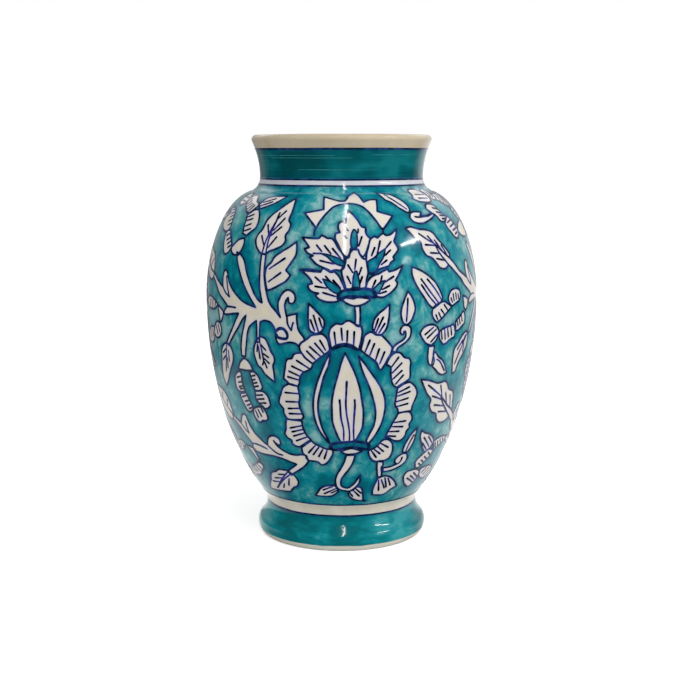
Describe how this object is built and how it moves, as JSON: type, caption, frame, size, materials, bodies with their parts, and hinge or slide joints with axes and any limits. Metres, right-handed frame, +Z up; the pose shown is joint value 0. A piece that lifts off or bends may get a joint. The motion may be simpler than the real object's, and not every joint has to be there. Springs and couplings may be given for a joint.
{
  "type": "ceramic vase",
  "caption": "Round-bodied glazed ceramic vase with a flared neck and a spreading foot ring, open at the mouth, painted in blue and white on teal; it holds cut flowers.",
  "frame": {"origin": "centre of the foot ring's contact plane, on the vase's axis", "axes": "+Z up along the axis, towards the mouth; the painted front shown in the picture faces -Y, with +X to its right"},
  "size_m": [0.1686, 0.1686, 0.25],
  "materials": {
    "teal_foot_glaze": "glossy teal glaze over white slip",
    "teal_body_glaze": "glossy clear glaze over hand-painted teal, white and cobalt",
    "deep_teal_glaze": "glossy deep teal glaze with brush streaks",
    "cream_glaze": "glossy cream-white slip under clear glaze"
  },
  "bodies": {
    "root": {"foot_ring": "teal_foot_glaze", "lower_bowl": "teal_body_glaze", "shoulder_shell": "teal_body_glaze", "neck_collar": "deep_teal_glaze", "lip_ring": "cream_glaze"}
  },
  "joints": []
}
